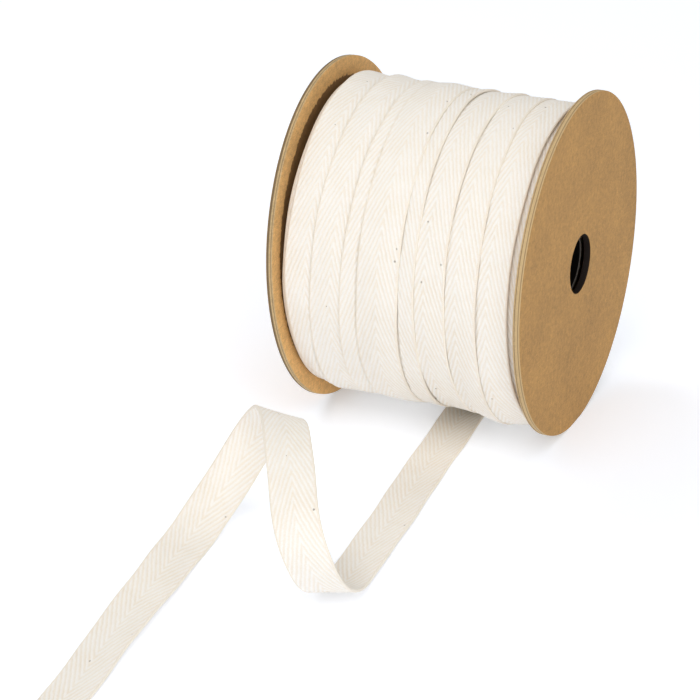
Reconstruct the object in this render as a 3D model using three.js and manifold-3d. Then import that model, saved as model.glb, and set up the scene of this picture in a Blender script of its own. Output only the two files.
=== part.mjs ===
// Roll of cotton herringbone ribbon on a spool with two kraft board flanges. The spindle axis runs
// along X, 39.6 mm above the table, and the ribbon's loose end comes out underneath towards -Y,
// lies flat, climbs into a standing loop and lies flat again up to its cut end.
// Lengths are in millimetres and angles in degrees. The origin is the upright flange's flat foot.
import * as THREE from "three";
import { mergeVertices } from "three/addons/utils/BufferGeometryUtils.js";
import Module from "manifold-3d";

const wasm = await Module();
wasm.setup();

// Driving dimensions of the flanges
const flangeRadius = 39.8;
const flangeThickness = 1.6;
const flangeEdgeRounding = 0.15;
const spindleHoleRadius = 6.9;
const footCut = 0.2;
const rimSegments = 64;
const leftFlangeLean = 3.2;
const leftFlangeX = -58.95;

// Driving dimensions of the wound ribbon: its radius over a single and over a doubled layer
const singleRadius = 35.1;
const doubledRadius = 36.1;
const endLayerRadius = 34.7;
const looseness = 1.3;
const stepWidth = 0.3;
const roundSegments = 72;

// The last wrap at the right hangs loose and bulges underneath
const bulge = { x: -9.8, width: 4, depth: 1.5, angle: -60 };

// Driving dimensions of the ribbon's loose end
const ribbonWidth = 10;
const tailThickness = 1;
const stepsInSection = 12;
const tailStart = { x: -26.3, y: 15.9, z: 4.5, heading: 5, pitch: -24 };

const axisHeight = flangeRadius - footCut;

// Where the edges of the wraps run along the axis, from the right flange's middle: at the top, at
// the front and low down. The radius left and right of each edge says which wrap lies over which.
const lowHeight = -0.87;
const wrapEdges = [
  { top: -58.4, front: -57.8, low: -55.9, leftRadius: null, rightRadius: endLayerRadius },
  { top: -56.8, front: -56.8, low: -54.7, leftRadius: endLayerRadius, rightRadius: doubledRadius },
  { top: -49.9, front: -50.6, low: -51.8, leftRadius: singleRadius, rightRadius: doubledRadius },
  { top: -42.5, front: -43.3, low: -44.8, leftRadius: singleRadius, rightRadius: doubledRadius },
  { top: -40.0, front: -39.5, low: -40.0, leftRadius: singleRadius, rightRadius: doubledRadius },
  { top: -34.2, front: -34.2, low: -34.5, leftRadius: singleRadius, rightRadius: singleRadius },
  { top: -29.3, front: -29.2, low: -30.2, leftRadius: doubledRadius, rightRadius: singleRadius },
  { top: -26.0, front: -25.4, low: -25.0, leftRadius: doubledRadius, rightRadius: singleRadius },
  { top: -18.8, front: -18.1, low: -17.3, leftRadius: doubledRadius, rightRadius: singleRadius },
  { top: -11.4, front: -10.5, low: -9.9, leftRadius: doubledRadius, rightRadius: singleRadius },
  { top: -3.4, front: -3.4, low: -2.3, leftRadius: doubledRadius, rightRadius: endLayerRadius },
  { top: -1.4, front: -1.4, low: -1.4, leftRadius: endLayerRadius, rightRadius: null },
];

// The loose end, section by section: its length, the bend towards its upper face and the twist
// that lifts its right edge
const tailSections = [
  { name: "leaving the roll", length: 5, bend: 0, twist: 0 },
  { name: "touching down", length: 9, bend: 24, twist: 0 },
  { name: "lying in front", length: 96, bend: 0.5, twist: 3 },
  { name: "lifting off", length: 11, bend: 24, twist: 6 },
  { name: "first bend", length: 18, bend: 55, twist: 12 },
  { name: "folding back", length: 10, bend: 58, twist: 7 },
  { name: "rising ramp", length: 28, bend: 44, twist: 23 },
  { name: "crest", length: 22, bend: 42, twist: 27 },
  { name: "falling over", length: 8, bend: 44, twist: -1 },
  { name: "second bend", length: 29, bend: 79.5, twist: 16.5 },
  { name: "settling", length: 45, bend: -5.5, twist: 22 },
  { name: "lying to the end", length: 50, bend: 4.5, twist: -3.5 },
];

const radians = THREE.MathUtils.degToRad;

function solidFrom(geometry) {
  const bare = geometry.clone();
  bare.deleteAttribute("normal");
  bare.deleteAttribute("uv");
  const merged = mergeVertices(bare);
  return new wasm.Manifold(new wasm.Mesh({
    numProp: 3,
    vertProperties: new Float32Array(merged.attributes.position.array),
    triVerts: new Uint32Array(merged.index.array),
  }));
}

function geometryFrom(solid) {
  const mesh = solid.getMesh();
  const geometry = new THREE.BufferGeometry();
  geometry.setAttribute("position", new THREE.BufferAttribute(mesh.vertProperties, mesh.numProp));
  geometry.setIndex(new THREE.BufferAttribute(mesh.triVerts, 1));
  geometry.computeVertexNormals();
  return geometry;
}

// A disc with the spindle hole, its middle on the axis at x, leaning to -X by lean at its top,
// cut flat where it stands on the table
function flangeGeometry(x, lean) {
  const outline = new THREE.Shape();
  outline.absarc(0, 0, flangeRadius - flangeEdgeRounding, 0, 2 * Math.PI);
  const hole = new THREE.Path();
  hole.absarc(0, 0, spindleHoleRadius + flangeEdgeRounding, 0, 2 * Math.PI, true);
  outline.holes.push(hole);
  const disc = new THREE.ExtrudeGeometry(outline, {
    depth: flangeThickness - 2 * flangeEdgeRounding,
    bevelThickness: flangeEdgeRounding,
    bevelSize: flangeEdgeRounding,
    bevelSegments: 1,
    curveSegments: rimSegments,
  });
  disc.translate(0, 0, flangeEdgeRounding - flangeThickness / 2);
  disc.rotateY(Math.PI / 2 - radians(lean));
  disc.translate(x, 0, axisHeight);
  const table = new THREE.BoxGeometry(4 * flangeThickness + flangeRadius, flangeRadius, flangeRadius);
  table.translate(x, 0, -flangeRadius / 2);
  return geometryFrom(solidFrom(disc).subtract(solidFrom(table)));
}

// Distance along the axis of a wrap's edge at a height, which is -1 at the roll's lowest line and
// 1 at its highest
function edgeAt(edge, height) {
  const towards = height > 0 ? edge.top : edge.low;
  const share = height > 0 ? height : height / lowHeight;
  return edge.front + (towards - edge.front) * share;
}

// The wound ribbon is a lathe turned about the axis, whose profile goes along the wraps from the
// left end to the right and back through the spindle hole. Each ring is then moved to where the
// wraps' edges run at its angle, and hangs a little low.
function rollGeometry() {
  const profile = [];
  for (const edge of wrapEdges) {
    if (edge.leftRadius !== null) {
      profile.push({ edge, radius: edge.leftRadius, aside: -stepWidth / 2, outer: true });
    }
    if (edge.rightRadius !== null && edge.rightRadius !== edge.leftRadius) {
      profile.push({ edge, radius: edge.rightRadius, aside: stepWidth / 2, outer: true });
    }
  }
  const rightEnd = wrapEdges.at(-1);
  const leftEnd = wrapEdges[0];
  profile.push({ edge: rightEnd, radius: spindleHoleRadius, aside: -stepWidth / 2, outer: false });
  profile.push({ edge: leftEnd, radius: spindleHoleRadius, aside: stepWidth / 2, outer: false });
  profile.push(profile[0]);

  const points = profile.map((point) => new THREE.Vector2(point.radius, point.edge.front));
  const roll = new THREE.LatheGeometry(points, roundSegments);
  const position = roll.attributes.position;
  for (let i = 0; i < position.count; i++) {
    const point = profile[i % profile.length];
    const turn = (Math.floor(i / profile.length) % roundSegments) / roundSegments;
    const angle = -2 * Math.PI * turn;
    const height = Math.sin(angle) * point.radius / singleRadius;
    const x = edgeAt(point.edge, height) + point.aside;
    let radius = point.radius;
    if (point.outer) {
      const facing = Math.max(0, Math.cos(angle - radians(bulge.angle)));
      const nearness = Math.exp(-(((x - bulge.x) / bulge.width) ** 2) / 2);
      radius += looseness * (1 - height) / 2 + bulge.depth * nearness * facing ** 2;
    }
    position.setXYZ(i, x, -radius * Math.cos(angle), axisHeight + radius * Math.sin(angle));
  }
  return roll;
}

// The stations along the loose end: its middle, its direction, the direction to its right edge and
// its upper face's normal, integrated from the table of sections
function tailStations() {
  const heading = radians(tailStart.heading);
  const middle = new THREE.Vector3(tailStart.x, tailStart.y, tailStart.z);
  const along = new THREE.Vector3(Math.sin(heading), -Math.cos(heading), 0);
  const across = new THREE.Vector3(Math.cos(heading), Math.sin(heading), 0);
  along.applyAxisAngle(across, -radians(tailStart.pitch));
  const stations = [];
  const mark = () => {
    const normal = new THREE.Vector3().crossVectors(along, across);
    stations.push({ middle: middle.clone(), across: across.clone(), normal });
  };
  mark();
  for (const section of tailSections) {
    const bendStep = radians(section.bend) / stepsInSection;
    const twistStep = radians(section.twist) / stepsInSection;
    for (let step = 0; step < stepsInSection; step++) {
      along.applyAxisAngle(across, -bendStep / 2);
      across.applyAxisAngle(along, twistStep / 2);
      middle.addScaledVector(along, section.length / stepsInSection);
      along.applyAxisAngle(across, -bendStep / 2);
      across.applyAxisAngle(along, twistStep / 2);
      mark();
    }
  }
  return stations;
}

// A bar of one cell across, bent along the stations and lifted wherever an edge would dip into
// the table
function tailGeometry() {
  const stations = tailStations();
  const steps = stations.length - 1;
  const tail = new THREE.BoxGeometry(ribbonWidth, steps, tailThickness, 1, steps, 1);
  const position = tail.attributes.position;
  const point = new THREE.Vector3();
  for (let i = 0; i < position.count; i++) {
    const station = stations[Math.round(position.getY(i) + steps / 2)];
    const reach = Math.abs(station.across.z) * ribbonWidth / 2;
    const depth = Math.abs(station.normal.z) * tailThickness / 2;
    const lift = Math.max(0, reach + depth - station.middle.z);
    point.copy(station.middle);
    point.addScaledVector(station.across, -position.getX(i));
    point.addScaledVector(station.normal, position.getZ(i));
    position.setXYZ(i, point.x, point.y, point.z + lift);
  }
  return tail;
}

function kraftBoard() {
  return new THREE.MeshStandardMaterial({ color: 0xb68c56, roughness: 0.85, metalness: 0 });
}

function creamCotton() {
  return new THREE.MeshStandardMaterial({ color: 0xf1e9dc, roughness: 0.95, metalness: 0 });
}

function piece(name, geometry, material) {
  const mesh = new THREE.Mesh(geometry, material);
  mesh.name = name;
  return mesh;
}

const spool = new THREE.Group();
spool.add(piece("flange_right", flangeGeometry(0, 0), kraftBoard()));
spool.add(piece("flange_left", flangeGeometry(leftFlangeX, leftFlangeLean), kraftBoard()));
spool.add(piece("ribbon_roll", rollGeometry(), creamCotton()));
spool.add(piece("ribbon_tail", tailGeometry(), creamCotton()));

export default spool;
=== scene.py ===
"""Roll of cotton herringbone ribbon on a spool of two kraft board flanges.

The ribbon's loose end lies on the table in front, with one standing loop.

Lengths in the tables are in millimetres and angles in degrees, as on a maker's drawing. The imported
frame is in metres, so every finished point is multiplied by MM.
"""
import math

import bpy
import numpy as np
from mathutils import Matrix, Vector


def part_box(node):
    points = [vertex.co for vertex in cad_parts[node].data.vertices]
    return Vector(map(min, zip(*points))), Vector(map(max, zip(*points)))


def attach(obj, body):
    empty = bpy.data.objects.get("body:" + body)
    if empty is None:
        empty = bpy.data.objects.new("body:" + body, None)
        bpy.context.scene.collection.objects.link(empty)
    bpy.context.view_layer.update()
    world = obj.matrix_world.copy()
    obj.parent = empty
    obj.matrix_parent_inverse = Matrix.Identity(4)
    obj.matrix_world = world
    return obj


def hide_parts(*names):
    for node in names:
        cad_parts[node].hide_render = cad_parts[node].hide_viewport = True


bl_info = {
    "name": "Cotton ribbon roll",
    "version": (1, 0, 0),
    "blender": (4, 5, 0),
    "location": "View3D > Sidebar > Ribbon",
    "description": "Builds a roll of herringbone ribbon on a board spool, with its stage",
    "category": "Object",
}

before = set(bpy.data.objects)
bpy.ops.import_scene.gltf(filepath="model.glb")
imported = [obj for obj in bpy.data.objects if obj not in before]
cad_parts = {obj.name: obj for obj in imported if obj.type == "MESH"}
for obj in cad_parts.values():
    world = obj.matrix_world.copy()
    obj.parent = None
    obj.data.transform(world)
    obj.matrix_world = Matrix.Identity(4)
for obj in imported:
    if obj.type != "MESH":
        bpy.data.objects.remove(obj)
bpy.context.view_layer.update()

MM = 0.001
RIGHT_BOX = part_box("flange_right")
FLANGE_TOP = RIGHT_BOX[1][2] / MM
FOOT_CUT = 0.2
AXIS_HEIGHT = (FLANGE_TOP - FOOT_CUT) / 2
FLANGE_RADIUS = FLANGE_TOP - AXIS_HEIGHT
BOARD_THICKNESS = (RIGHT_BOX[1][0] - RIGHT_BOX[0][0]) / MM
SPINDLE_HOLE_RADIUS = 6.9
LEFT_BOARD_X = -58.95
LEFT_BOARD_LEAN = 3.2
LEFT_BOARD_CRUSHED = 0.4
RIGHT_BOARD_CRUSHED = 0.12
# Inside this radius the left board's inner face is painted dark: painted shade of the narrow gap beside the
# winding
GAP_RADIUS = 35.25

# The board's section: the liner on each face, the groove beside it, and the rounding of its edges
LINER = 0.26
GROOVE_DEPTH = 0.10
SMALL_ROUND = 0.12
RIM_UNEVEN = 0.6
BOARD_STEPS = 256

# The ribbon, and the herringbone's ribs across and along it
RIBBON_WIDTH = 10.0
RIB_ACROSS = 0.96
RIB_ALONG = 2.76
RIBS_IN_HALF = 5
STEPS_IN_RIB = 4
SELVEDGE = 0.55
BEAD_FROM_EDGE = 0.32
BEAD_HEIGHT = 0.05
BEAD_RIPPLE = 0.02
YARNS_IN_RIB = 4
STITCHES_IN_RIB = 3

# The wraps from left to right: which edge lies on top (0 for both), where that edge runs along the
# axis at the top, the front and low down, how wide the wrap shows, how far its upper edge stands
# off behind the top, and the wraps that cover its other edge
WRAP_COLUMNS = ("name", "side", "top", "front", "low", "shows", "lift", "covers")
WRAP_ROWS = (
    ("end_wrap_left", -1, -58.4, -57.8, -55.9, 2.2, 0.0, ("wrap_1",)),
    ("wrap_1", -1, -56.8, -56.8, -54.7, 6.2, 0.5, ("wrap_2",)),
    ("wrap_2", -1, -49.9, -50.6, -51.8, 7.3, 0.5, ("wrap_3",)),
    ("wrap_3", -1, -42.5, -43.3, -44.8, 3.9, 0.0, ("wrap_4",)),
    ("wrap_4", 0, -34.7, -34.4, -35.1, 10.0, 0.3, ()),
    ("wrap_5", 1, -26.0, -25.4, -25.0, 3.8, 0.2, ("wrap_4", "wrap_3")),
    ("wrap_6", 1, -18.8, -18.1, -17.3, 7.3, 0.12, ("wrap_5",)),
    ("wrap_7", 1, -11.4, -10.5, -9.9, 7.6, 0.1, ("wrap_6",)),
    ("wrap_8", 1, -3.4, -3.4, -2.3, 7.1, 0.0, ("wrap_7",)),
    ("end_wrap_right", 1, -1.4, -1.4, -1.4, 2.0, 0.0, ("wrap_8",)),
)
WRAPS = tuple(dict(zip(WRAP_COLUMNS, row)) for row in WRAP_ROWS)

# The height of the low line, from -1 at the lowest to 1 at the highest, and the radii of the
# winding: where one layer shows, where two lie over each other, at its ends, and beneath
LOW_HEIGHT = -0.87
SINGLE_RADIUS = 35.9
DOUBLED_RADIUS = 36.2
END_RADIUS = 34.9
CORE_RADIUS = 33.6
LAYER_CLEARANCE = 0.01
CORE_STEPS = 192
CORE_INSET = 0.3
CORE_DENT = 0.25

# How the wraps differ from even bands: the crown of the wrap on top, how far the first wrap's edge
# sinks low down, where edges stand off, how far they wander, how the faces swell, the loose place
# at the right, and how many steps of the weave lie between one wrap's start and the next's
CROWN_RISE = 0.1
CROWN_DROP = 0.25
SHOULDER_DIP = 1.1
LIFT_ANGLE = 2.0
LIFT_SPREAD = 0.5
LIFT_WIDTH = 4.5
WANDER = (0.10, 0.07)
WANDER_BEHIND = 0.5
SWELL = (0.06, 0.04)
WEAVE_STEPS_APART = 104
BULGE = {"x": -9.8, "width": 4.0, "depth": 1.5, "angle": -60.0}

# The loose end, section by section: its length, the bend towards its upper face and the twist
# that lifts its right edge
TAIL_START = {"x": -26.3, "y": 15.9, "z": 4.5, "heading": 5.0, "pitch": -24.0}
TAIL_SECTIONS = (
    {"name": "leaving the roll", "length": 5.0, "bend": 0.0, "twist": 0.0},
    {"name": "touching down", "length": 9.0, "bend": 24.0, "twist": 0.0},
    {"name": "lying in front", "length": 96.0, "bend": 0.5, "twist": 3.0},
    {"name": "lifting off", "length": 11.0, "bend": 24.0, "twist": 6.0},
    {"name": "first bend", "length": 18.0, "bend": 55.0, "twist": 12.0},
    {"name": "folding back", "length": 10.0, "bend": 58.0, "twist": 7.0},
    {"name": "rising ramp", "length": 28.0, "bend": 44.0, "twist": 23.0},
    {"name": "crest", "length": 22.0, "bend": 42.0, "twist": 27.0},
    {"name": "falling over", "length": 8.0, "bend": 44.0, "twist": -1.0},
    {"name": "second bend", "length": 29.0, "bend": 79.5, "twist": 16.5},
    {"name": "settling", "length": 45.0, "bend": -5.5, "twist": 22.0},
    {"name": "lying to the end", "length": 50.0, "bend": 4.5, "twist": -3.5},
)
STEPS_IN_SECTION = 12

# Its wound start: how far round the back it reaches, and how deep it dives by halfway and beyond
WOUND_STEPS = 12
WOUND_TURN = 30.0
WOUND_DIVE = (1.15, 0.75)
TAIL_RIPPLE = (0.10, 0.07)
TAIL_LOWERED = 0.17

# The camera stands at the photograph's angle, with its picture 700 pixels wide
CAMERA_AT = (237.45, -691.91, 350.12)
CAMERA_TOWARDS = (-56.21, 0.0, 7.92)
CAMERA_FOCAL_PIXELS = 3478.9
PICTURE_PIXELS = 700
SENSOR_WIDTH = 36.0

# Colours of 0 to 255 as on a screen: the specks of seed, and painted shade on the inner board's face
# in the gap beside the winding and on the hole's cut edge. The bore's painted shade is linear.
SEED = (96, 74, 52)
GAP_SHADE = (70, 45, 20)
HOLE_SHADE = (26, 16, 9)
BORE_SHADE = (0.002, 0.0015, 0.001, 1.0)

# The table's paper, and the lamps in metres and watts, all turned towards one place
TABLE_HALF = 3.0
PAPER = (240, 243, 250)
PAPER_GLOW = (0.95, 0.975, 1.0, 1.0)
ROOM_COLOR = (0.97, 0.985, 1.0, 1.0)
LAMPS = (
    {"name": "front", "at": (0.1, -0.62, 1.08), "size": 0.9, "power": 5.9, "color": (1.0, 1.0, 1.0)},
    {"name": "low_front", "at": (0.15, -1.2, 0.4), "size": 0.7, "power": 2.6, "color": (1.0, 0.98, 0.95)},
    {"name": "side", "at": (1.0, -0.55, 0.6), "size": 0.9, "power": 3.4, "color": (1.0, 1.0, 1.0)},
    {"name": "back", "at": (-0.65, 0.35, 0.95), "size": 0.45, "power": 2.4, "color": (1.0, 1.0, 1.0)},
)
LAMPS_TOWARDS = (-0.03, -0.05, 0.03)


def ease(value):
    """Smooth step: 0 below 0, 1 above 1, and 3v^2 - 2v^3 between."""
    v = np.clip(value, 0.0, 1.0)
    return v * v * (3.0 - 2.0 * v)


def faces_of_grid(rows, columns, along):
    """Corner numbers of the quads of a grid and the row of each corner. The last column is joined
    to the first, and the last row to the first if along."""
    i = np.arange(rows if along else rows - 1)
    j = np.arange(columns)
    i, j = (part.ravel() for part in np.meshgrid(i, j, indexing="ij"))
    here = i * columns
    below = (i + 1) % rows * columns
    beside = (j + 1) % columns
    quads = np.stack([here + j, below + j, below + beside, here + beside], 1)
    row_of_corner = np.stack([i, i + 1, i + 1, i], 1)
    return quads, row_of_corner


def signed_volume(points, quads):
    """Six times the volume inside quads: the sum of each half quad's triple product."""
    a, b, c, d = (points[quads[:, k]] for k in range(4))
    return float((np.cross(a, b) * c).sum() + (np.cross(a, c) * d).sum())


def grid_piece(name, points, across=None, along_step=0.0, along_start=0.0, along=False, capped=False):
    """A mesh piece from a grid of points (rows, columns, 3) in millimetres, its columns closed into
    a ring, its rows closed if along, its two ends closed by a face each if capped. The UV map has
    the place across in widths of the ribbon and the distance along it in the same unit."""
    rows, columns = points.shape[:2]
    flat = points.reshape(-1, 3)
    quads, row_of_corner = faces_of_grid(rows, columns, along)
    turned = signed_volume(flat, quads) < 0
    if turned:
        quads = quads[:, ::-1]
        row_of_corner = row_of_corner[:, ::-1]
    faces = quads.tolist()
    corner_rows = row_of_corner.ravel()
    corner_points = quads.ravel()
    if capped:
        first = np.arange(columns)
        last = first + (rows - 1) * columns
        ends = (first[::-1], last) if turned else (first, last[::-1])
        for end, row in zip(ends, (0, rows - 1)):
            faces.append(end.tolist())
            corner_points = np.concatenate([corner_points, end])
            corner_rows = np.concatenate([corner_rows, np.full(columns, row)])
    mesh = bpy.data.meshes.new(name)
    mesh.from_pydata((flat * MM).tolist(), [], faces)
    if across is not None:
        layer = mesh.uv_layers.new(name="ribbon")
        u = across[corner_points % columns]
        v = along_start + corner_rows * along_step
        layer.data.foreach_set("uv", np.stack([u, v], 1).astype(np.float32).ravel())
    mesh.polygons.foreach_set("use_smooth", np.ones(len(mesh.polygons), bool))
    mesh.update()
    piece = bpy.data.objects.new(name, mesh)
    bpy.context.collection.objects.link(piece)
    return piece


def cloth_of(sizes):
    """The ribbon's sizes from the panel, in millimetres."""
    return {
        "thickness": sizes.ribbon_thickness / MM,
        "relief": sizes.rib_relief / MM,
        "looseness": sizes.looseness / MM,
    }


def ribbon_section(thickness, both_faces):
    """The ribbon's cross-section as arrays: the distance across from its middle, the half
    thickness there with its sign for the upper or lower face, how much of the ribs' relief each
    point takes, and how much of the selvedge's bead. The edges are round: half thickness times
    the root of 1 - d^2, with d from 0 to 1 over the last stretch before the edge. Where only one
    face shows, the other has few points and no ribs."""
    edge = RIBBON_WIDTH / 2
    last = RIBS_IN_HALF * STEPS_IN_RIB - 1
    inner = np.arange(-last, last + 1) * RIB_ACROSS / STEPS_IN_RIB
    outer = edge - np.array([0.3, 0.2, 0.12, 0.06, 0.02])
    upper = np.concatenate([-outer[::-1], inner, outer])
    sparse = edge * np.array([-0.98, -0.92, -0.72, -0.36, 0.0, 0.36, 0.72, 0.92, 0.98])
    lower = (upper if both_faces else sparse)[::-1]
    across = np.concatenate([[-edge], upper, [edge], lower])
    sign = np.concatenate([[0.0], np.ones(len(upper)), [0.0], -np.ones(len(lower))])
    from_edge = edge - np.abs(across)
    roundness = np.clip(1.0 - from_edge / (thickness / 2), 0.0, 1.0)
    half = sign * thickness / 2 * np.sqrt(1.0 - roundness**2)
    relief = ease((from_edge - SELVEDGE) / 0.4) * (sign if both_faces else np.maximum(sign, 0.0))
    bead = np.exp(-(((from_edge - BEAD_FROM_EDGE) / 0.2) ** 2)) * sign
    return across, half, relief, bead


def bead_height(along):
    """Height of the stitched bead beside the selvedge: even, with a small wave at each stitch."""
    return BEAD_HEIGHT + BEAD_RIPPLE * np.cos(2.0 * np.pi * along * STITCHES_IN_RIB / RIB_ALONG)


def herringbone(across, along):
    """Height of the twill ribs from -1 to 1: a cosine whose phase grows with the distance from the
    spine and with the distance along, so the lines meet at the spine in points."""
    return np.cos(2.0 * np.pi * (np.abs(across) / RIB_ACROSS + along / RIB_ALONG))


def edge_of(wrap, height):
    """Distance along the axis of the wrap's upper edge, or its middle if both edges lie on top, at
    a height from -1, the lowest line, to 1, the highest: straight between the three places."""
    upper = wrap["front"] + (wrap["top"] - wrap["front"]) * np.maximum(height, 0.0)
    return upper + (wrap["low"] - wrap["front"]) * np.maximum(-height, 0.0) / -LOW_HEIGHT


def radius_of(wrap, x, height, thickness):
    """Radius of the wrap's outer face at a distance along the axis: high at its upper edge, low
    where the next wrap covers it, and a layer below each wrap that covers it. The first wrap's
    edge sinks towards the axis low down. Beside the wrap the radius is endless."""
    if wrap["side"] == 0:
        share = np.abs(x - edge_of(wrap, height)) / (wrap["shows"] / 2)
        own = DOUBLED_RADIUS + CROWN_RISE - CROWN_DROP * share**2
        return np.where(share <= 1.02, own, np.inf)
    inward = -wrap["side"] * (x - edge_of(wrap, height))
    high = END_RADIUS if wrap["name"].startswith("end") else DOUBLED_RADIUS
    low = min(high, SINGLE_RADIUS)
    own = high - (high - low) * np.clip(inward / wrap["shows"], 0.0, 1.0) ** 1.5
    for cover in (other for other in WRAPS if other["name"] in wrap["covers"]):
        above = radius_of(cover, x, height, thickness) - thickness - LAYER_CLEARANCE
        own = np.minimum(own, above)
    if wrap["name"] == "wrap_1":
        own = own - SHOULDER_DIP * ease((-height - 0.25) / 0.6) * ease(1.0 - inward / 3.2)
    inside = (inward >= -0.02) & (inward <= RIBBON_WIDTH + 0.02)
    return np.where(inside, own, np.inf)


def sagging(x, height, angle, looseness):
    """How far the wraps stand off a tight winding: more towards the bottom, where they hang, and
    a bulge in the last wraps at the right."""
    facing = np.maximum(0.0, np.cos(angle - math.radians(BULGE["angle"])))
    nearness = np.exp(-(((x - BULGE["x"]) / BULGE["width"]) ** 2) / 2)
    return looseness * (1.0 - height) / 2 + BULGE["depth"] * nearness * facing**2


def build_wrap(wrap, number, cloth):
    """One wrap of ribbon around the roll: its cross-section carried round the axis in even steps,
    at the radius and place along the axis that its table row gives. Slow sines make its edges
    wander and its face swell, each wrap's with its own start."""
    across, half, relief, bead = ribbon_section(cloth["thickness"], both_faces=False)
    ribs = round(2.0 * math.pi * DOUBLED_RADIUS / RIB_ALONG)
    rows = ribs * STEPS_IN_RIB
    angle = (2.0 * np.pi * np.arange(rows) / rows)[:, None]
    along = angle / (2.0 * np.pi) * ribs * RIB_ALONG
    phase = 1.7 * number
    height = np.sin(angle)
    behind = (1.0 - np.cos(angle)) / 2
    wander = WANDER[0] * np.sin(3 * angle + phase) + WANDER[1] * np.sin(8 * angle + 2 * phase)
    wander = wander + WANDER_BEHIND * behind * np.sin(2 * angle + phase)
    upper_edge = wrap["side"] * RIBBON_WIDTH / 2
    middle = edge_of(wrap, height) - upper_edge
    x_plain = middle + across[None, :]
    outer = radius_of(wrap, x_plain, height, cloth["thickness"])
    x = x_plain + wander
    inward = np.abs(x_plain - middle - upper_edge)
    lift = wrap["lift"] * np.exp(-(((angle - LIFT_ANGLE) / LIFT_SPREAD) ** 2))
    lift = lift * ease(1.0 - inward / LIFT_WIDTH)
    swell = SWELL[0] * np.sin(5 * angle + phase + x_plain / 3)
    swell = swell + SWELL[1] * np.sin(11 * angle - phase + x_plain / 2)
    radius = outer - cloth["thickness"] / 2 + half[None, :] + lift + swell
    radius = radius + sagging(x, height, angle, cloth["looseness"])
    radius = radius + cloth["relief"] * relief[None, :] * herringbone(across[None, :], along)
    radius = radius + bead[None, :] * bead_height(along)
    y = -radius * np.cos(angle)
    z = AXIS_HEIGHT + radius * np.sin(angle)
    points = np.stack(np.broadcast_arrays(x, y, z), -1)
    u = across / RIBBON_WIDTH + 0.5
    step = RIB_ALONG / STEPS_IN_RIB / RIBBON_WIDTH
    start = (number + 1) * WEAVE_STEPS_APART * step
    return grid_piece(wrap["name"], points, u, step, start, along=True)


def build_core(cloth):
    """The turns beneath, as one body: a profile of end rings, a layer apart, turned about the
    axis, and the spindle hole through it. Its left end follows the leaning left disc."""
    layers = np.arange(SPINDLE_HOLE_RADIUS, CORE_RADIUS, cloth["thickness"])
    left_x = WRAPS[0]["front"] + CORE_INSET
    right_x = WRAPS[-1]["front"] - CORE_INSET
    ring = np.repeat(layers, 2)[1:]
    dent = np.tile([CORE_DENT, 0.0], len(layers))[: len(ring)]
    radius = np.concatenate([ring, [CORE_RADIUS, CORE_RADIUS], ring[::-1]])[None, :]
    place = np.concatenate([left_x + dent, [left_x, right_x], right_x - dent[::-1]])[None, :]
    angle = (2.0 * np.pi * np.arange(CORE_STEPS) / CORE_STEPS)[:, None]
    height = np.sin(angle) * radius / SINGLE_RADIUS
    at_left = place < (left_x + right_x) / 2
    lean = np.where(at_left, edge_of(WRAPS[0], height) - WRAPS[0]["front"], 0.0)
    sag = np.where(radius > CORE_RADIUS - 0.1, cloth["looseness"] * (1.0 - height) / 2, 0.0)
    y = -(radius + sag) * np.cos(angle)
    z = AXIS_HEIGHT + (radius + sag) * np.sin(angle)
    points = np.stack(np.broadcast_arrays(place + lean, y, z), -1)
    u = np.full(place.size, 0.5)
    return grid_piece("inner_turns", points, u, RIB_ALONG / RIBBON_WIDTH, along=True)


def turn(vector, axis, angle):
    """A vector turned about a unit axis by an angle: v cos a + (k x v) sin a + k (k.v)(1 - cos a)."""
    cosine, sine = math.cos(angle), math.sin(angle)
    return vector * cosine + np.cross(axis, vector) * sine + axis * np.dot(axis, vector) * (1.0 - cosine)


def tail_stations():
    """Middle, across and normal directions and the distance along at each step of the loose end.
    It starts on the roll's back, where it is still wound, then follows the table of sections."""
    heading = math.radians(TAIL_START["heading"])
    across = np.array([math.cos(heading), math.sin(heading), 0.0])
    start = np.array([TAIL_START["x"], TAIL_START["y"], TAIL_START["z"]])
    start_angle = math.atan2(start[1], AXIS_HEIGHT - start[2])
    start_radius = math.hypot(start[1], AXIS_HEIGHT - start[2])
    stations = []
    for share in np.linspace(1.0, 0.0, WOUND_STEPS + 1)[:-1]:
        angle = start_angle + share * math.radians(WOUND_TURN)
        dive = WOUND_DIVE[0] * ease(share / 0.5) + WOUND_DIVE[1] * ease((share - 0.5) / 0.5)
        radius = start_radius - dive
        x = start[0] - math.tan(heading) * (angle - start_angle) * radius
        normal = np.array([0.0, -math.sin(angle), math.cos(angle)])
        middle = np.array([x, radius * math.sin(angle), AXIS_HEIGHT - radius * math.cos(angle)])
        stations.append((middle, np.array([1.0, 0.0, 0.0]), normal))
    along = np.array([math.sin(heading), -math.cos(heading), 0.0])
    along = turn(along, across, -math.radians(TAIL_START["pitch"]))
    middle = start
    stations.append((middle, across, np.cross(along, across)))
    for section in TAIL_SECTIONS:
        bend = math.radians(section["bend"]) / STEPS_IN_SECTION
        twist = math.radians(section["twist"]) / STEPS_IN_SECTION
        for _ in range(STEPS_IN_SECTION):
            along = turn(along, across, -bend / 2)
            across = turn(across, along, twist / 2)
            middle = middle + along * section["length"] / STEPS_IN_SECTION
            along = turn(along, across, -bend / 2)
            across = turn(across, along, twist / 2)
            stations.append((middle, across, np.cross(along, across)))
    middles, acrosses, normals = (np.array(part) for part in zip(*stations))
    distance = np.concatenate([[0.0], np.cumsum(np.linalg.norm(np.diff(middles, axis=0), axis=1))])
    return middles, acrosses, normals, distance


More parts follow.
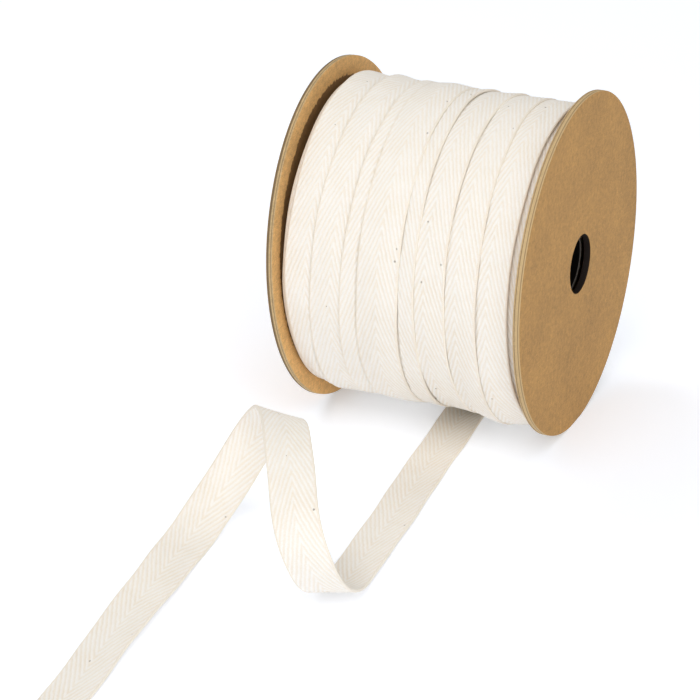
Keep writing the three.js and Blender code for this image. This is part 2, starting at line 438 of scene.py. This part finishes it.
def smooth_along(values, distance, wanted):
    """Values between stations by a cubic through each pair, with the slopes of their neighbours."""
    slopes = np.gradient(values, distance, axis=0)
    at = np.clip(np.searchsorted(distance, wanted) - 1, 0, len(distance) - 2)
    step = (distance[at + 1] - distance[at])[:, None]
    t = ((wanted - distance[at])[:, None]) / step
    first = (2 * t**3 - 3 * t**2 + 1) * values[at] + (t**3 - 2 * t**2 + t) * step * slopes[at]
    second = (3 * t**2 - 2 * t**3) * values[at + 1] + (t**3 - t**2) * step * slopes[at + 1]
    return first + second


def unit(vectors):
    """Vectors brought to length 1."""
    return vectors / np.linalg.norm(vectors, axis=-1, keepdims=True)


def build_tail(cloth):
    """The loose end: the cross-section carried along the stations, with the herringbone's relief
    on both faces. It is lowered so that it lies on the table, lifted where an edge would dip into
    it, and pressed flat there. Gives the piece and its length in millimetres."""
    across, half, relief, bead = ribbon_section(cloth["thickness"], both_faces=True)
    middles, acrosses, normals, distance = tail_stations()
    step = RIB_ALONG / STEPS_IN_RIB
    wanted = np.arange(0.0, distance[-1], step)
    middle = smooth_along(middles, distance, wanted)
    sideways = unit(smooth_along(acrosses, distance, wanted))
    normal = smooth_along(normals, distance, wanted)
    normal = unit(normal - sideways * (normal * sideways).sum(1, keepdims=True))
    ripple = TAIL_RIPPLE[0] * np.sin(wanted / 7.0) + TAIL_RIPPLE[1] * np.sin(wanted / 3.1 + 1.0)
    middle[:, 2] -= TAIL_LOWERED
    reach = np.abs(sideways[:, 2]) * RIBBON_WIDTH / 2
    reach = reach + np.abs(normal[:, 2]) * (cloth["thickness"] / 2 + BEAD_HEIGHT)
    middle[:, 2] += np.maximum(0.0, reach - middle[:, 2])
    along = wanted[:, None]
    lift = half[None, :] + cloth["relief"] * relief[None, :] * herringbone(across[None, :], along)
    lift = lift + bead[None, :] * bead_height(along)
    spread = across[None, :] + ripple[:, None]
    points = middle[:, None, :] + spread[..., None] * sideways[:, None, :]
    points = points + lift[..., None] * normal[:, None, :]
    points[..., 2] = np.maximum(points[..., 2], 0.0)
    u = across / RIBBON_WIDTH + 0.5
    piece = grid_piece("loose_end", points, u, step / RIBBON_WIDTH, capped=True)
    return piece, float(wanted[-1])


def rounding(middle_depth, middle_radius, size, start, end):
    """A quarter round as depths and radii: a circle's points from one angle to another."""
    angle = np.radians(np.linspace(start, end, 6))
    return [(middle_depth + size * math.cos(a), middle_radius + size * math.sin(a)) for a in angle]


def board_profile(crushed):
    """Outline of a flange's cut section, as the depth from its inner face and the radius: round
    hole edge, outer face, the liner's lip, the groove beside it, the core's edge, the other groove
    and lip, the inner face and the hole's other edge. crushed is how far the outer lip is rounded
    over."""
    thickness, radius, hole = BOARD_THICKNESS, FLANGE_RADIUS, SPINDLE_HOLE_RADIUS
    small = SMALL_ROUND
    face = np.linspace(hole + 1.0, radius - 1.5, 14)
    outer_seam = thickness - max(LINER, crushed)
    groove_floor = radius - GROOVE_DEPTH
    core_edge = radius - 0.03
    return np.array([
        *rounding(thickness - small, hole + small, small, -90.0, 0.0),
        *((thickness, r) for r in face),
        *rounding(thickness - crushed, radius - crushed, crushed, 0.0, 90.0),
        (outer_seam - 0.02, radius),
        (outer_seam - 0.06, groove_floor),
        (outer_seam - 0.12, core_edge),
        (thickness / 2, radius + 0.02),
        (LINER + 0.12, core_edge),
        (LINER + 0.06, groove_floor),
        (LINER + 0.02, radius),
        *rounding(small, radius - small, small, 90.0, 180.0),
        *((0.0, r) for r in face[::-1]),
        *rounding(small, hole + small, small, 180.0, 270.0),
    ])


def build_flange(name, x, lean, outward, crushed):
    """A board disc: its cut section turned about the disc's own axis, which leans, its rim a
    little uneven, and pressed flat where it would dip below the table. outward is the direction
    of its outer face along the axis. Two attributes give the depth and the radius."""
    profile = board_profile(crushed)
    depth, radius = profile[:, 0], profile[:, 1]
    angle = (2.0 * np.pi * np.arange(BOARD_STEPS) / BOARD_STEPS)[:, None]
    tilt = math.radians(lean)
    normal = np.array([math.cos(tilt), 0.0, math.sin(tilt)])
    upward = np.array([-math.sin(tilt), 0.0, math.cos(tilt)])
    forward = np.array([0.0, -1.0, 0.0])
    through = (outward * (depth - BOARD_THICKNESS / 2))[None, :, None]
    uneven = 0.035 * np.sin(3 * angle + x) + 0.02 * np.sin(7 * angle) + 0.012 * np.sin(23 * angle)
    rim = ease((radius - FLANGE_RADIUS + 1.0) / 1.0)[None, :]
    r = radius[None, :] + uneven * rim * RIM_UNEVEN
    centre = np.array([x, 0.0, AXIS_HEIGHT])
    points = centre + through * normal + (r * np.cos(angle))[..., None] * forward
    points = points + (r * np.sin(angle))[..., None] * upward
    points[..., 2] = np.maximum(points[..., 2], 0.0)
    piece = grid_piece(name, points, along=True)
    for title, values in (("depth", depth), ("radius", radius)):
        layer = piece.data.attributes.new(title, "FLOAT", "POINT")
        layer.data.foreach_set("value", np.tile(values, BOARD_STEPS).astype(np.float32))
    return piece


class Value:
    """A shader socket that takes part in arithmetic, each operation adding a Math node."""

    def __init__(self, shader, socket):
        self.shader = shader
        self.socket = socket

    def math(self, operation, *others):
        """One Math node on this value and the others."""
        sockets = dict(enumerate((self, *others)))
        return self.shader.node("ShaderNodeMath", {"operation": operation}, sockets)[0]

    def __add__(self, other):
        return self.math("ADD", other)

    def __sub__(self, other):
        return self.math("SUBTRACT", other)

    def __rsub__(self, other):
        return self.math("MULTIPLY", -1.0).math("ADD", other)

    def __mul__(self, other):
        return self.math("MULTIPLY", other)

    def __truediv__(self, other):
        return self.math("DIVIDE", other)

    def __rtruediv__(self, other):
        return self.math("POWER", -1.0).math("MULTIPLY", other)

    __radd__ = __add__
    __rmul__ = __mul__

    def step(self, low, high):
        """0 below low, 1 above high and smooth between, or the reverse where low is the larger."""
        values = {"Value": self, "From Min": low, "From Max": high, "To Min": 0.0, "To Max": 1.0}
        settings = {"interpolation_type": "SMOOTHSTEP"}
        return self.shader.node("ShaderNodeMapRange", settings, values)["Result"]

    def within(self):
        """The value held between 0 and 1."""
        return self.math("MAXIMUM", 0.0).math("MINIMUM", 1.0)


class Made:
    """A node that was added: its outputs by name or number, as values."""

    def __init__(self, shader, node):
        self.shader = shader
        self.made = node

    def __getitem__(self, key):
        return Value(self.shader, self.made.outputs[key])


class Shader:
    """A material whose nodes are added by one method."""

    def __init__(self, name):
        self.material = bpy.data.materials.new(name)
        self.material.use_nodes = True
        self.tree = self.material.node_tree
        self.tree.nodes.clear()

    def node(self, kind, settings=None, values=None):
        """A node of a kind, with its settings made first, then its sockets' values or links."""
        node = self.tree.nodes.new(kind)
        for key, setting in (settings or {}).items():
            setattr(node, key, setting)
        for key, value in (values or {}).items():
            socket = node.inputs[key]
            if isinstance(value, Value):
                self.tree.links.new(value.socket, socket)
            else:
                socket.default_value = value
        return Made(self, node)

    def noise(self, place, scale, detail=2.0, dimensions="3D"):
        """Cloudy noise about a half, at a scale in patches per unit of place."""
        settings = {"noise_dimensions": dimensions}
        values = {"Vector": place, "Scale": scale, "Detail": detail}
        return self.node("ShaderNodeTexNoise", settings, values)["Fac"]

    def bump(self, height, distance, strength):
        """The normal of a surface raised by a height from 0 to 1 times a distance in metres."""
        values = {"Height": height, "Distance": distance, "Strength": strength}
        return self.node("ShaderNodeBump", {}, values)["Normal"]

    def attribute(self, name):
        """An attribute of the piece's own points."""
        return self.node("ShaderNodeAttribute", {"attribute_name": name})["Fac"]

    def mix(self, share, first, second):
        """A colour between two others. Its sockets are numbered, as the node has several of a name."""
        values = {0: share, 6: first, 7: second}
        return self.node("ShaderNodeMix", {"data_type": "RGBA"}, values)[2]

    def finish(self, color, roughness, normal, **plain):
        """The surface and the output, with plain values on the shader's own sockets."""
        values = {"Base Color": color, "Roughness": roughness, "Normal": normal, **plain}
        surface = self.node("ShaderNodeBsdfPrincipled", {}, values)
        self.node("ShaderNodeOutputMaterial", {}, {"Surface": surface["BSDF"]})
        return self.material


def linear(color):
    """A colour of 0 to 255 as on a screen, brought to the linear values that shaders take."""
    share = np.array(color, float) / 255.0
    low = share / 12.92
    high = ((share + 0.055) / 1.055) ** 2.4
    return (*np.where(share <= 0.04045, low, high).tolist(), 1.0)


def wave(turns):
    """A wave from 0 to 1 that is highest at whole numbers of turns."""
    return (turns * (2.0 * math.pi)).math("COSINE") * 0.5 + 0.5


def tinted(color, factor):
    """A colour of 0 to 255 made darker or lighter, brought to linear values."""
    return linear(tuple(min(255.0, part * factor) for part in color))


def cotton_material(name, ground, warm):
    """Unbleached cotton twill: fine yarns with floats that form the herringbone, warmer selvedges,
    painted shade in the ribs' hollows and between the yarns, faint clouding, and a few dark specks of seed."""
    shader = Shader(name)
    place = shader.node("ShaderNodeUVMap", {"uv_map": "ribbon"})["UV"]
    object_place = shader.node("ShaderNodeTexCoord")["Object"]
    parts = shader.node("ShaderNodeSeparateXYZ", {}, {"Vector": place})
    from_spine = ((parts["X"] - 0.5) * RIBBON_WIDTH).math("ABSOLUTE")
    along = parts["Y"] * RIBBON_WIDTH
    yarn_pitch = RIB_ACROSS / YARNS_IN_RIB
    yarn = from_spine / yarn_pitch
    in_yarn = yarn.math("FRACT") - 0.5
    roundness = 1.0 - in_yarn * in_yarn * 4.0
    yarn_middle = (yarn.math("FLOOR") + 0.5) * yarn_pitch
    drift = shader.noise(place, 7.0, dimensions="2D") - 0.5
    turn_of_float = yarn_middle / RIB_ACROSS + along / RIB_ALONG + drift * 0.5
    turn_of_rib = from_spine / RIB_ACROSS + along / RIB_ALONG + drift * 0.35
    turn_of_weft = along / (RIB_ALONG / (2 * STITCHES_IN_RIB))
    floating, rib, weft = (wave(turns) for turns in (turn_of_float, turn_of_rib, turn_of_weft))
    selvedge_start = RIBBON_WIDTH / 2 - SELVEDGE
    selvedge = from_spine.step(selvedge_start, selvedge_start + 0.15)
    body = 1.0 - selvedge
    weave = (roundness * 0.45 + floating * 0.4 + weft * 0.15) * body
    weave = weave + weft * roundness * selvedge * 0.8
    cloud = shader.noise(object_place, 160.0, 3.0)
    fuzz = shader.noise(object_place, 3600.0, 3.0) - 0.5
    patchy = cloud.step(0.35, 0.7) * 0.25 + 0.75
    # Painted shade: darker, warmer colour in the hollows between the ribs and between the yarns, where
    # their relief lies in shade
    hollow_painted_shade = (1.0 - rib) * body * patchy * 0.65 + (1.0 - weave) * 0.35
    shade = hollow_painted_shade + fuzz * 1.1 + selvedge * 0.5 + (cloud - 0.5) * 0.25
    color = shader.mix(shade.within(), linear(ground), linear(warm))
    settings = {"voronoi_dimensions": "2D"}
    cells = shader.node("ShaderNodeTexVoronoi", settings, {"Vector": place, "Scale": 2.2})
    draws = shader.node("ShaderNodeSeparateColor", {}, {"Color": cells["Color"]})
    size = draws["Green"] * 0.03 + 0.03
    speck = draws["Red"].step(0.945, 0.95) * (size - cells["Distance"]).step(0.0, 0.02)
    color = shader.mix(speck * 0.7, color, linear(SEED))
    bump = shader.bump(weave + fuzz * 0.35, 0.00007, 0.8)
    plain = {"Specular IOR Level": 0.2, "Sheen Weight": 0.12, "Sheen Roughness": 0.6}
    return shader.finish(color, 0.9 - rib * 0.06, bump, **plain)


def inner_material(name, ground):
    """Painted shade: the inner turns' ends in the given colour, and the bore's wall near black as shade too
    deep to show.
    """
    shader = Shader(name)
    place = shader.node("ShaderNodeTexCoord")["Object"]
    parts = shader.node("ShaderNodeSeparateXYZ", {}, {"Vector": place})
    rise = parts["Z"] - AXIS_HEIGHT * MM
    from_axis = (parts["Y"] * parts["Y"] + rise * rise).math("SQRT")
    # Painted shade: near black inside the bore, the darker warm colour beyond it
    beyond_bore = from_axis.step((SPINDLE_HOLE_RADIUS + 0.1) * MM, (SPINDLE_HOLE_RADIUS + 1.0) * MM)
    color = shader.mix(beyond_bore, BORE_SHADE, linear(ground))
    grain = shader.noise(place, 2500.0)
    bump = shader.bump(grain, 0.0001, 0.5)
    return shader.finish(color, grain * 0.1 + 0.88, bump, **{"Specular IOR Level": 0.05})


def kraft_material(name, face, rim, outer_band, gap_radius):
    """Kraft-lined board: brown speckled paper on its faces, a paler greyish cut edge, and dark
    seams beside the liners. outer_band is the edge's colour beside the outer face; where it is darker
    than the edge it is painted shade. Inside gap_radius the inner face is painted dark, as painted
    shade of the narrow gap beside the winding. The hole's cut edge is painted shade near black."""
    shader = Shader(name)
    place = shader.node("ShaderNodeTexCoord")["Object"]
    depth = shader.attribute("depth")
    radius = shader.attribute("radius")
    stretch = {"Vector": place, "Scale": (1.0, 0.35, 2.2)}
    fine = shader.noise(place, 3400.0, 3.0)
    middle = shader.noise(place, 900.0, 4.0)
    broad = shader.noise(place, 70.0)
    fibre = shader.noise(shader.node("ShaderNodeMapping", {}, stretch)["Vector"], 1500.0, 3.0)
    grain = (fine - 0.5) * 0.9 + (middle - 0.5) * 0.8 + (broad - 0.5) * 0.5 + (fibre - 0.5) * 0.7
    light = (grain + 0.5).within()
    paper = shader.mix(light, tinted(face, 0.80), tinted(face, 1.16))
    paper = shader.mix(fibre.step(0.62, 0.72) * 0.35, paper, tinted(face, 0.62))
    # Painted shade: the inner face darkened in a ragged band beside the winding, where the narrow gap lies
    # in shade
    ragged = radius + (middle - 0.5) * 1.6
    gap_painted_shade = ragged.step(gap_radius + 0.25, gap_radius) * depth.step(0.3, 0.1)
    paper = shader.mix(gap_painted_shade * 0.75, paper, linear(GAP_SHADE))
    edge = shader.mix(light, tinted(rim, 0.86), tinted(rim, 1.1))
    # Where outer_band is darker than the edge, as on the left board, this band is painted shade
    beside_outer = depth.step(BOARD_THICKNESS * 0.45, BOARD_THICKNESS * 0.65)
    edge = shader.mix(beside_outer, edge, linear(outer_band))
    from_outer = BOARD_THICKNESS - depth
    outer_seam = from_outer.step(0.5, 0.42) * from_outer.step(0.26, 0.34)
    inner_seam = depth.step(0.5, 0.42) * depth.step(0.24, 0.32)
    edge = shader.mix((outer_seam + inner_seam) * 0.75, edge, tinted(rim, 0.6))
    on_rim = radius.step(FLANGE_RADIUS - 0.14, FLANGE_RADIUS - 0.02)
    color = shader.mix(on_rim, paper, edge)
    # Painted shade: the hole's cut edge darkened near black, as the hole lies in shade
    hole_painted_shade = radius.step(SPINDLE_HOLE_RADIUS + 0.06, SPINDLE_HOLE_RADIUS + 0.01)
    color = shader.mix(hole_painted_shade, color, linear(HOLE_SHADE))
    bump = shader.bump(fine * 0.5 + middle * 0.35 + fibre * 0.4, 0.00005, 0.6)
    return shader.finish(color, light * 0.12 + 0.74, bump, **{"Specular IOR Level": 0.3})


def paper_material(name, color, glow):
    """Plain pale paper for the table, with a faint glow that keeps it white."""
    shader = Shader(name)
    place = shader.node("ShaderNodeTexCoord")["Object"]
    grain = shader.noise(place, 300.0)
    bump = shader.bump(grain, 0.00001, 0.2)
    plain = {"Emission Color": PAPER_GLOW, "Emission Strength": glow, "Specular IOR Level": 0.1}
    return shader.finish(linear(color), grain * 0.1 + 0.85, bump, **plain)


def give(piece, material):
    """The piece's only material."""
    piece.data.materials.clear()
    piece.data.materials.append(material)


class RIBBON_PG_sizes(bpy.types.PropertyGroup):
    """Sizes of the ribbon and its winding."""

    ribbon_thickness: bpy.props.FloatProperty(
        name="Ribbon thickness", description="Thickness of the ribbon between its ribs",
        default=0.00065, min=0.0002, max=0.001, precision=5, subtype="DISTANCE", unit="LENGTH")
    rib_relief: bpy.props.FloatProperty(
        name="Rib relief", description="How far the herringbone's ribs stand out and their hollows sink",
        default=0.00008, min=0.0, max=0.0002, precision=5, subtype="DISTANCE", unit="LENGTH")
    looseness: bpy.props.FloatProperty(
        name="Looseness", description="How far the winding hangs down at its lowest",
        default=0.0013, min=0.0, max=0.0015, precision=5, subtype="DISTANCE", unit="LENGTH")


class RIBBON_PG_colors(bpy.types.PropertyGroup):
    """Colours of the cloth and the board, as on a screen, from 0 to 1."""

    cotton: bpy.props.FloatVectorProperty(
        name="Cotton", description="Ground colour of the ribbon", subtype="COLOR_GAMMA",
        default=(0.965, 0.95, 0.925), min=0.0, max=1.0)
    # The warm colour is the selvedges' own tone, and also the painted shade of the hollows and of the inner
    # turns
    cotton_warm: bpy.props.FloatVectorProperty(
        name="Selvedge", description="Warmer colour of the selvedges and hollows", subtype="COLOR_GAMMA",
        default=(0.925, 0.88, 0.81), min=0.0, max=1.0)
    board: bpy.props.FloatVectorProperty(
        name="Board", description="Colour of the kraft board's faces", subtype="COLOR_GAMMA",
        default=(0.70, 0.535, 0.315), min=0.0, max=1.0)
    # Painted light: a lighter copy of the board colour for the left board's inner face, standing in for the
    # light it takes from the lamps and the white cotton
    board_inner_painted_light: bpy.props.FloatVectorProperty(
        name="Board inside", description="Colour of the board's lighter inner liner", subtype="COLOR_GAMMA",
        default=(0.84, 0.66, 0.42), min=0.0, max=1.0)
    board_edge: bpy.props.FloatVectorProperty(
        name="Board edge", description="Colour of the board's cut edge", subtype="COLOR_GAMMA",
        default=(0.76, 0.65, 0.48), min=0.0, max=1.0)


class RIBBON_PG_light(bpy.types.PropertyGroup):
    """Strength of the studio light and of the table's glow."""

    room: bpy.props.FloatProperty(
        name="Room light", description="Strength of the light from all round", default=0.41, min=0.0)
    lamps: bpy.props.FloatProperty(
        name="Lamps", description="Factor on the power of every lamp", default=1.0, min=0.0)
    glow: bpy.props.FloatProperty(
        name="Table glow", description="Faint light of the table that keeps it white",
        default=0.28, min=0.0)


def screen(color):
    """A property's colour as 0 to 255."""
    return tuple(255.0 * c for c in color)


class RIBBON_OT_camera(bpy.types.Operator):
    """Set the camera at the photograph's angle"""

    bl_idname = "ribbon.camera"
    bl_label = "Camera"

    def execute(self, context):
        data = bpy.data.cameras.new("camera")
        data.sensor_width = SENSOR_WIDTH
        data.lens = CAMERA_FOCAL_PIXELS * SENSOR_WIDTH / PICTURE_PIXELS
        data.clip_start = 0.05
        data.clip_end = 20.0
        camera = bpy.data.objects.new("camera", data)
        camera.location = Vector(CAMERA_AT) * MM
        towards = (Vector(CAMERA_TOWARDS) - Vector(CAMERA_AT)) * MM
        camera.rotation_euler = towards.to_track_quat("-Z", "Y").to_euler()
        context.collection.objects.link(camera)
        context.scene.camera = camera
        return {"FINISHED"}


class RIBBON_OT_tail(bpy.types.Operator):
    """Build the loose end of the ribbon with its standing loop"""

    bl_idname = "ribbon.tail"
    bl_label = "Loose end"

    def execute(self, context):
        colors = context.scene.ribbon_colors
        piece, length = build_tail(cloth_of(context.scene.ribbon_sizes))
        give(piece, cotton_material("cotton_loose", screen(colors.cotton), screen(colors.cotton_warm)))
        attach(piece, "root")
        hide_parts("ribbon_tail")
        return {"FINISHED"}


class RIBBON_OT_winding(bpy.types.Operator):
    """Build the wound ribbon, wrap by wrap, and the turns beneath"""

    bl_idname = "ribbon.winding"
    bl_label = "Winding"

    def execute(self, context):
        colors = context.scene.ribbon_colors
        cotton = cotton_material("cotton_wound", screen(colors.cotton), screen(colors.cotton_warm))
        cloth = cloth_of(context.scene.ribbon_sizes)
        core = build_core(cloth)
        wraps = [build_wrap(wrap, number, cloth) for number, wrap in enumerate(WRAPS)]
        # The inner turns take the warm colour as painted shade, with the bore's wall painted near black as
        # shade
        give(core, inner_material("cotton_inner", screen(colors.cotton_warm)))
        for piece in wraps:
            give(piece, cotton)
        for piece in [core, *wraps]:
            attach(piece, "root")
            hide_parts("ribbon_roll")
        return {"FINISHED"}


class RIBBON_OT_flanges(bpy.types.Operator):
    """Build the two board flanges"""

    bl_idname = "ribbon.flanges"
    bl_label = "Flanges"

    def execute(self, context):
        colors = context.scene.ribbon_colors
        face, inner, edge = (screen(c) for c in (colors.board, colors.board_inner_painted_light, colors.board_edge))
        right = build_flange("board_right", 0.0, 0.0, 1, RIGHT_BOARD_CRUSHED)
        left = build_flange("board_left", LEFT_BOARD_X, LEFT_BOARD_LEAN, -1, LEFT_BOARD_CRUSHED)
        # Painted shade: the left board's rim beside its outer face is darkened, for the edge that rounds
        # away from the lamps
        painted_shade_edge = tuple(part * 0.55 for part in edge)
        give(right, kraft_material("kraft_right", face, edge, edge, 0.0))
        # Painted light: the left board's inner face takes the lighter copy of the board colour
        give(left, kraft_material("kraft_left", inner, edge, painted_shade_edge, GAP_RADIUS))
        for piece, node in ((right, "flange_right"), (left, "flange_left")):
            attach(piece, "root")
            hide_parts(node)
        return {"FINISHED"}


class RIBBON_OT_stage(bpy.types.Operator):
    """Lay the pale table and hang the soft studio light"""

    bl_idname = "ribbon.stage"
    bl_label = "Stage"

    def execute(self, context):
        light = context.scene.ribbon_light
        corners = [(x * TABLE_HALF, y * TABLE_HALF, 0.0) for x, y in ((-1, -1), (1, -1), (1, 1), (-1, 1))]
        mesh = bpy.data.meshes.new("table_top")
        mesh.from_pydata(corners, [], [(0, 1, 2, 3)])
        floor = bpy.data.objects.new("table_top", mesh)
        context.collection.objects.link(floor)
        give(floor, paper_material("pale_paper", PAPER, light.glow))
        world = bpy.data.worlds.new("room")
        world.use_nodes = True
        background = world.node_tree.nodes["Background"]
        background.inputs["Color"].default_value = ROOM_COLOR
        background.inputs["Strength"].default_value = light.room
        context.scene.world = world
        for row in LAMPS:
            lamp = bpy.data.lights.new(row["name"], "AREA")
            lamp.energy = row["power"] * light.lamps
            lamp.size = row["size"]
            lamp.color = row["color"]
            hung = bpy.data.objects.new(row["name"], lamp)
            hung.location = row["at"]
            towards = Vector(LAMPS_TOWARDS) - hung.location
            hung.rotation_euler = towards.to_track_quat("-Z", "Y").to_euler()
            context.collection.objects.link(hung)
        context.scene.view_settings.view_transform = "Standard"
        return {"FINISHED"}


class RIBBON_PT_panel(bpy.types.Panel):
    """The roll's parts and colours"""

    bl_idname = "RIBBON_PT_panel"
    bl_label = "Ribbon roll"
    bl_space_type = "VIEW_3D"
    bl_region_type = "UI"
    bl_category = "Ribbon"

    def draw(self, context):
        layout = self.layout
        scene = context.scene
        for group in (scene.ribbon_sizes, scene.ribbon_colors, scene.ribbon_light):
            for name in group.__annotations__:
                layout.prop(group, name)
        for operator in OPERATORS:
            layout.operator(operator.bl_idname)


OPERATORS = (RIBBON_OT_camera, RIBBON_OT_tail, RIBBON_OT_winding, RIBBON_OT_flanges, RIBBON_OT_stage)
GROUPS = (RIBBON_PG_sizes, RIBBON_PG_colors, RIBBON_PG_light)
CLASSES = (*GROUPS, *OPERATORS, RIBBON_PT_panel)


def register():
    for cls in CLASSES:
        bpy.utils.register_class(cls)
    bpy.types.Scene.ribbon_sizes = bpy.props.PointerProperty(type=RIBBON_PG_sizes)
    bpy.types.Scene.ribbon_colors = bpy.props.PointerProperty(type=RIBBON_PG_colors)
    bpy.types.Scene.ribbon_light = bpy.props.PointerProperty(type=RIBBON_PG_light)


def unregister():
    del bpy.types.Scene.ribbon_light
    del bpy.types.Scene.ribbon_colors
    del bpy.types.Scene.ribbon_sizes
    for cls in reversed(CLASSES):
        bpy.utils.unregister_class(cls)


def main():
    register()
    bpy.ops.ribbon.camera()
    bpy.ops.ribbon.tail()
    bpy.ops.ribbon.winding()
    bpy.ops.ribbon.flanges()
    bpy.ops.ribbon.stage()


if __name__ == "__main__":
    main()
